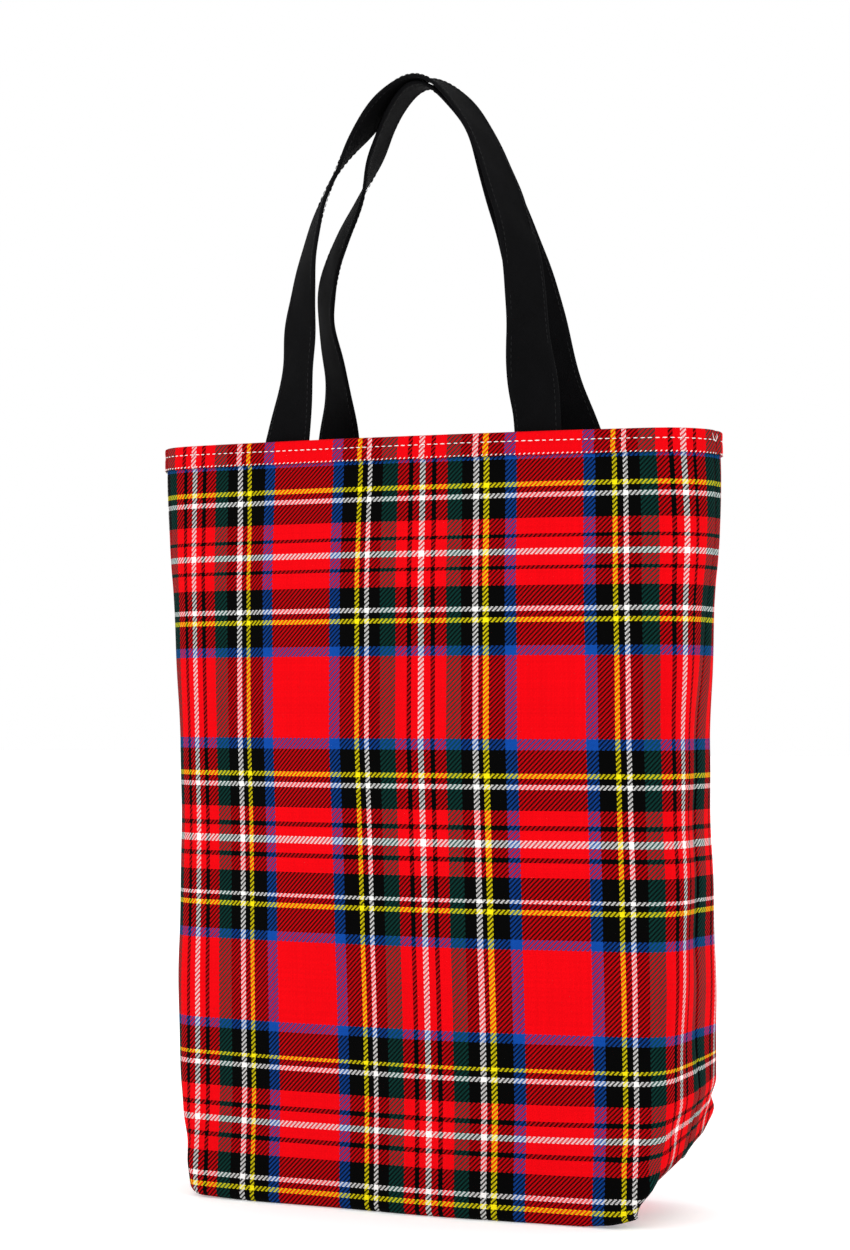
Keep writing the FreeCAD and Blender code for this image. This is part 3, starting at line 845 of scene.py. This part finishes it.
def seam_strip(name, root, tip, square, uv_root, uv_tip, node):
    """One pair of seam allowances with its overlocked edge, standing for its CAD solid."""
    sizes = bpy.context.scene.tote_bag
    points, faces, uv = strip_mesh(root, tip, square, sizes.cloth / MM * 0.92, uv_root, uv_tip)
    cloth = piece(name, points, faces, material_of("tartan_cotton_twill"), uv)
    outward_check(cloth)
    pitch, depth = 2.2, 4.5          # of the overlock stitches
    every = max(1, int(round(pitch / np.linalg.norm(np.diff(root, axis=0), axis=1).mean())))
    edge = (tip + square * ruffle(len(root))[:, None])[::every]
    inward = ((root - tip) / np.linalg.norm(root - tip, axis=1, keepdims=True) * depth)[::every]
    thread = piece(name + "_overlock", *overlock(edge, inward, square[::every] * sizes.cloth / MM),
                   material_of("white_polyester_thread"))
    for made, slot in ((cloth, "tartan_cloth"), (thread, "white_thread")):
        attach(made, "bag")
    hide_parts(node)
    return cloth, thread


def outward_check(made):
    """Turns a closed mesh the right way out: its signed volume has to be positive."""
    mesh = made.data
    mesh.calc_loop_triangles()
    corners = np.empty(3 * len(mesh.loop_triangles), np.int32)
    mesh.loop_triangles.foreach_get("vertices", corners)
    places = np.empty(3 * len(mesh.vertices), np.float32)
    mesh.vertices.foreach_get("co", places)
    places = places.reshape(-1, 3)[corners.reshape(-1, 3)].astype(float)
    volume = np.einsum("ij,ij->i", places[:, 0], np.cross(places[:, 1], places[:, 2])).sum()
    if volume < 0:
        mesh.flip_normals()


# ---- straps ---------------------------------------------------------------------------------
def route_points(route, count):
    """Natural cubic curve through the route's knots, evenly spaced by its chord length. The
    turn of the strap is carried along with its place."""
    knots = np.array(route, float)
    steps = np.linalg.norm(np.diff(knots[:, :2], axis=0), axis=1)
    places = np.concatenate([[0], np.cumsum(steps)])
    gaps = np.diff(places)
    last = len(knots) - 1
    matrix, target = np.eye(last + 1), np.zeros_like(knots)
    for k in range(1, last):
        matrix[k, k - 1:k + 2] = gaps[k - 1], 2 * (gaps[k - 1] + gaps[k]), gaps[k]
        target[k] = 6 * ((knots[k + 1] - knots[k]) / gaps[k]
                         - (knots[k] - knots[k - 1]) / gaps[k - 1])
    bend = np.linalg.solve(matrix, target)
    along = np.linspace(0, places[-1], count)
    k = np.clip(np.searchsorted(places, along) - 1, 0, last - 1)
    gap = gaps[k][:, None]
    before, after = (places[k + 1] - along)[:, None], (along - places[k])[:, None]
    return ((bend[k] * before ** 3 + bend[k + 1] * after ** 3) / (6 * gap)
            + (knots[k] / gap - bend[k] * gap / 6) * before
            + (knots[k + 1] / gap - bend[k + 1] * gap / 6) * after)


def strap_frames(side):
    """Places along a strap from one tail to the other: centre, direction across and outer
    face, and the length run so far. Each leg turns as it climbs, so that the strap lies nearly
    flat over the top of its arch: face = front * cos(turn) + outward * sin(turn), with a few
    degrees of small uneven turns where the cloth kinks."""
    sizes = bpy.context.scene.tote_straps
    fold_z = sizes.fold_z / MM
    tail_low = fold_z - 1 - sizes.tail / MM
    arch = route_points(ROUTES[side], ARCH_STEPS)
    foot = np.linspace(tail_low, fold_z, TAIL_STEPS + 1)[:-1]
    ends = [np.stack([0 * foot + arch[k, 0], foot, 0 * foot], -1) for k in (0, -1)]
    line = np.concatenate([ends[0], arch, ends[1][::-1]])
    free = smooth((line[:, 1] - fold_z) / 30)
    place = np.arange(len(line)) * 2.6 + (0 if side == "front" else 40)
    kinks = free * (4.0 * np.sin(place / 21) + 3.0 * np.sin(place / 9.3) * np.sin(place / 47))
    turn = np.radians(line[:, 2] + kinks)[:, None]
    line = line[:, :2]
    top = line[:, 1].max()
    climb = np.clip((line[:, 1] - fold_z) / (top - fold_z), 0, 1)
    y = -(sizes.plane + (sizes.apex - sizes.plane) * climb) / MM
    flat_run = np.gradient(line, axis=0)
    flat_run = flat_run / np.linalg.norm(flat_run, axis=1, keepdims=True)
    rising = np.where(np.arange(len(line)) < line[:, 1].argmax(), 1.0, -1.0)
    ease = smooth(climb / 0.1)[:, None]
    run = np.stack([flat_run[:, 0], 0 * y, flat_run[:, 1]], -1) * ease
    run = run + np.stack([0 * y, 0 * y, rising], -1) * (1 - ease)
    run = run / np.linalg.norm(run, axis=1, keepdims=True)
    outward = np.stack([-run[:, 2], 0 * y, run[:, 0]], -1)
    face = np.array([0, -1.0, 0]) * np.cos(turn) + outward * np.sin(turn)
    centre = np.stack([line[:, 0], y, line[:, 1]], -1)
    length = np.concatenate([[0], np.cumsum(np.linalg.norm(np.diff(centre, axis=0), axis=1))])
    frames = [centre, np.cross(run, face), face]
    if side == "back":
        frames = [v * (1, -1, 1) for v in frames]
    return (*frames, length)


def strap_mesh(side):
    """A strap and its length: a flat band with rounded, slightly thicker folded edges, cupped a
    little and with soft dents along its length, carried along its frames. The cup is
    0.7 * (1 - (place across / half width)^2) * a slow sine, and the dents are 0.4 * two
    quicker sines."""
    sizes = bpy.context.scene.tote_straps
    centre, across, face, length = strap_frames(side)
    half, thick = sizes.width / 2 / MM, sizes.thickness / 2 / MM
    edge = 1.0                       # how far the rounded edge reaches
    flat = np.linspace(-(half - edge), half - edge, 15)
    swell = 0.10 * bump(np.abs(flat), half - 3.0, 3.0) - 0.12 * bump(np.abs(flat), half - 5.5, 1.6)
    bend = np.linspace(-math.pi / 2, math.pi / 2, 5)[1:-1]
    sideways = np.concatenate([flat, half - edge + np.cos(bend[::-1]), flat[::-1],
                               -(half - edge) - np.cos(bend)])
    upward = np.concatenate([thick + swell, thick * np.sin(bend[::-1]), -thick - swell[::-1],
                             thick * np.sin(bend)])
    climb = np.clip((centre[:, 2] - sizes.fold_z / MM) / 40, 0, 1)
    phase = 0.0 if side == "front" else 2.0
    cup = 0.7 * (1 - (sideways[:, None] / half) ** 2) * climb * np.sin(length / 60 + phase)
    dents = (0.4 * climb * np.sin(length / 7 + sideways[:, None] / 6 + phase)
             * np.sin(length / 23 + phase))
    height = upward[:, None] + cup + dents
    table = (centre[None] + across[None] * sideways[:, None, None]
             + face[None] * height[..., None])
    around = np.concatenate([sideways, sideways[:1]])
    uv = np.stack(np.broadcast_arrays(length[None], around[:, None]), -1)
    return sweep(table, uv), float(length[-1])


def strap_stitch_mesh(side):
    """Rows of black stitches near both edges of a strap, on both faces."""
    sizes = bpy.context.scene.tote_straps
    centre, across, face, length = strap_frames(side)
    thick = sizes.thickness / 2 / MM
    place = sizes.width / 2 / MM - sizes.edge_row / MM
    pitch, reach = 3.4, 2.6          # of one stitch
    starts = np.arange(3.0, length[-1] - 5.0, pitch)
    rows = []
    for edge in (-1, 1):
        for way in (-1, 1):
            lines = []
            for step in (0.0, reach):
                at = [np.stack([np.interp(starts + step, length, v[:, k]) for k in range(3)], -1)
                      for v in (centre, across, face)]
                lines.append(at[0] + at[1] * edge * place + at[2] * way * (thick + 0.06))
            rows.append(stitches(*lines, at[2] * way, radius=0.24, rise=0.08))
    return joined(rows)


# ---- operators ------------------------------------------------------------------------------
class TOTE_OT_stage(bpy.types.Operator):
    """Set up the camera, the pale floor and the soft studio light"""
    bl_idname = "tote.stage"
    bl_label = "Stage"

    def execute(self, context):
        stage = context.scene.tote_stage
        camera = bpy.data.objects.new("camera", bpy.data.cameras.new("camera"))
        context.scene.collection.objects.link(camera)
        context.scene.camera = camera
        camera.data.lens = stage.lens
        camera.data.sensor_width = 36.0
        camera.data.clip_end = 60.0
        turn = stage.azimuth
        right = np.array([math.cos(turn), math.sin(turn), 0.0])
        spot = np.array([math.sin(turn), -math.cos(turn), 0.0]) * stage.distance
        spot = spot - right * stage.aside + np.array([0, 0, stage.eye])
        camera.location = spot
        camera.rotation_euler = (math.pi / 2 + stage.pitch, 0.0, turn)

        material, tree = blank_material("matt_paper_sweep")
        shader = add_node(tree, "ShaderNodeBsdfPrincipled",
                          {"Base Color": (*linear("FAFAFA"), 1), "Roughness": 0.9,
                           "Specular IOR Level": 0.1, "Emission Color": (1, 1, 1, 1),
                           "Emission Strength": 0.30})
        add_node(tree, "ShaderNodeOutputMaterial", {"Surface": shader.outputs["BSDF"]})
        floor = bpy.data.meshes.new("studio_floor")
        reach = 14.0
        floor.from_pydata([(-reach, -reach, 0), (reach, -reach, 0), (reach, reach, 0),
                           (-reach, reach, 0)], [], [(0, 1, 2, 3)])
        floor.materials.append(material)
        ground = bpy.data.objects.new("studio_floor", floor)
        context.scene.collection.objects.link(ground)

        world = bpy.data.worlds.new("studio")
        context.scene.world = world
        world.use_nodes = True
        sky = world.node_tree.nodes["Background"]
        sky.inputs["Color"].default_value = (1, 1, 1, 1)
        sky.inputs["Strength"].default_value = stage.sky
        for name, place, width, power in (("key_softbox", (-1.3, -2.2, 2.0), 1.6, 9.0),
                                          ("fill_softbox", (2.4, -1.6, 1.1), 1.8, 4.0),
                                          ("top_softbox", (0.2, 0.6, 2.6), 1.6, 5.0)):
            lamp = bpy.data.lights.new(name, "AREA")
            lamp.shape = "SQUARE"
            lamp.size = width
            lamp.energy = power
            light = bpy.data.objects.new(name, lamp)
            context.scene.collection.objects.link(light)
            light.location = place
            aim = np.array([0.0, 0.0, 0.25]) - np.array(place)
            flat = math.hypot(aim[0], aim[1])
            light.rotation_euler = (math.atan2(flat, -aim[2]), 0.0, math.atan2(-aim[0], aim[1]))
        context.scene.view_settings.view_transform = "Standard"
        context.scene.view_settings.look = "None"
        return {"FINISHED"}


class TOTE_OT_seams(bpy.types.Operator):
    """Sew the overlocked seam allowances inside the bag"""
    bl_idname = "tote.seams"
    bl_label = "Inner Seams"

    def execute(self, context):
        sizes = context.scene.tote_bag
        wide = sizes.allowance / MM
        ends = ((-1, "left"), (1, "right"))

        # the side seams, from above the base's fold to below the hem
        above_base, below_hem, clear = 31.0, 2.5, 1.2
        heights = np.linspace(above_base, (HEM_TOP - sizes.hem_inside) / MM - below_hem, 190)
        for side, name in ends:
            root = bag_point(side * (HALF_WIDTH - 0.5), heights, -sizes.cloth / MM - clear)
            root[:, 1] = 0.0
            tip = root - np.array([side * wide, 0, 0])
            square = np.broadcast_to([0.0, 1.0, 0.0], root.shape)
            uv_root = np.stack([0 * heights + side * HALF_WIDTH, heights], -1)
            uv_tip = uv_root + np.array([side * wide, 0])
            seam_strip(name + "_side_allowance", root, tip, square, uv_root, uv_tip,
                       "side_seam_" + name)

        # the seam along the middle of the base, shorter at the end that is drawn up
        shift = sizes.base_shift / MM
        reach, shorter, clear = 108.0, 6.0, 1.9
        x = np.linspace(shift - reach, shift + reach - shorter, 130)
        root = np.stack([x, 0 * x, base_height(x, 0 * x) + sizes.cloth / MM + clear], -1)
        tip = root + np.array([0, 0, wide])
        square = np.broadcast_to([0.0, 1.0, 0.0], root.shape)
        uv_root = np.stack([x, 0 * x - 60.0], -1)
        seam_strip("base_allowance", root, tip, square, uv_root, uv_root - [0, wide],
                   "bottom_seam")

        # the seams across the ends of the base
        half, inwards, clear = 40.0, 4.0, 2.6
        y = np.linspace(-half, half, 44)
        for side, name in ends:
            away = 112.0 if side > 0 else 129.0
            line = shift + side * (away + 0 * y)
            floor = base_height(line, y) + sizes.cloth / MM
            root = np.stack([line - side * inwards, y, floor + clear], -1)
            tip = root + np.array([0.0, 0, wide])
            square = np.broadcast_to([1.0, 0.0, 0.0], root.shape)
            uv_root = np.stack([y, 0 * y - 90.0], -1)
            seam_strip(name + "_corner_allowance", root, tip, square, uv_root,
                       uv_root - [0, wide], "corner_seam_" + name)
        return {"FINISHED"}


class TOTE_OT_hems(bpy.types.Operator):
    """Turn the hems over the mouth and run their white stitch rows"""
    bl_idname = "tote.hems"
    bl_label = "Hems"

    def execute(self, context):
        for side in ("front", "back"):
            back = side == "back"
            points, faces, uv = hem_mesh(back)
            hem = piece(side + "_turned_hem", points, faces, material_of("tartan_cotton_twill"),
                        uv)
            outward_check(hem)
            rows = piece(side + "_hem_stitches", *hem_stitch_mesh(back),
                         material_of("white_polyester_thread"))
            for made, slot in ((hem, "tartan_cloth"), (rows, "white_thread")):
                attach(made, "bag")
            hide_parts(side + "_hem")
            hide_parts(side + "_hem_upper_thread", side + "_hem_lower_thread")
        return {"FINISHED"}


class TOTE_OT_panels(bpy.types.Operator):
    """Cut and shape the front and back panels with their halves of the base"""
    bl_idname = "tote.panels"
    bl_label = "Panels"

    def execute(self, context):
        for side in ("front", "back"):
            points, faces, uv = panel_mesh(side == "back")
            panel = piece(side + "_cloth_panel", points, faces,
                          material_of("tartan_cotton_twill"), uv.reshape(-1, 2))
            outward_check(panel)
            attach(panel, "bag")
            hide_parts(side + "_panel")
        return {"FINISHED"}


class TOTE_OT_straps(bpy.types.Operator):
    """Fold, edge-stitch and sew in the two black straps"""
    bl_idname = "tote.straps"
    bl_label = "Straps"

    def execute(self, context):
        for side, body in BODIES.items():
            (points, faces, uv), length = strap_mesh(side)
            strap = piece(side + "_strap_band", points, faces,
                          material_of("black_cotton_twill_tape"), uv)
            outward_check(strap)
            rows = piece(side + "_strap_stitches", *strap_stitch_mesh(side),
                         material_of("black_polyester_thread"))
            for made, slot in ((strap, "black_cotton"), (rows, "black_thread")):
                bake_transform(made)
            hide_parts(side + "_handle", side + "_handle_tails")
            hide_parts(side + "_handle_edge_threads")
        return {"FINISHED"}


class TOTE_OT_loose_threads(bpy.types.Operator):
    """Leave the few loose thread ends at one end of the hem"""
    bl_idname = "tote.loose_threads"
    bl_label = "Loose Threads"

    def execute(self, context):
        t = np.linspace(0, 1, 14)
        turn = 1.15 * math.pi * t
        off = 1.6 + 0.7 * np.sin(t * math.pi)
        radius = 0.2
        loop = bag_point(184.0 + 1.9 * np.cos(turn), TOP - 3.4 - 3.0 * np.sin(turn), off)
        stray = bag_point(187.4 + 1.3 * t ** 2, TOP - 5.4 + 3.4 * t, off)
        ends = piece("loose_thread_ends", *joined([tube(loop, radius), tube(stray, radius)]),
                     material_of("white_polyester_thread"))
        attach(ends, "bag")
        return {"FINISHED"}


class TOTE_PT_panel(bpy.types.Panel):
    """Lists the steps that build the bag"""
    bl_label = "Tote Bag"
    bl_idname = "TOTE_PT_panel"
    bl_space_type = "VIEW_3D"
    bl_region_type = "UI"
    bl_category = "Tote Bag"

    def draw(self, context):
        for step in STEPS:
            self.layout.operator(step.bl_idname)
        for group in GROUPS:
            box = self.layout.box()
            settings = getattr(context.scene, group)
            for name in settings.__annotations__:
                box.prop(settings, name)


STEPS = (TOTE_OT_stage, TOTE_OT_panels, TOTE_OT_hems, TOTE_OT_seams, TOTE_OT_straps,
         TOTE_OT_loose_threads)
GROUPS = {"tote_bag": ToteBagSizes, "tote_straps": ToteStrapSizes, "tote_yarns": ToteYarns,
          "tote_stage": ToteStage}
CLASSES = (*GROUPS.values(), *STEPS, TOTE_PT_panel)


def register():
    for cls in CLASSES:
        bpy.utils.register_class(cls)
    for name, group in GROUPS.items():
        setattr(bpy.types.Scene, name, PointerProperty(type=group))


def unregister():
    for name in GROUPS:
        delattr(bpy.types.Scene, name)
    for cls in reversed(CLASSES):
        bpy.utils.unregister_class(cls)


def main():
    """Builds the whole bag."""
    register()
    bpy.ops.tote.stage()
    bpy.ops.tote.panels()
    bpy.ops.tote.hems()
    bpy.ops.tote.seams()
    bpy.ops.tote.straps()
    bpy.ops.tote.loose_threads()


if __name__ == "__main__":
    main()
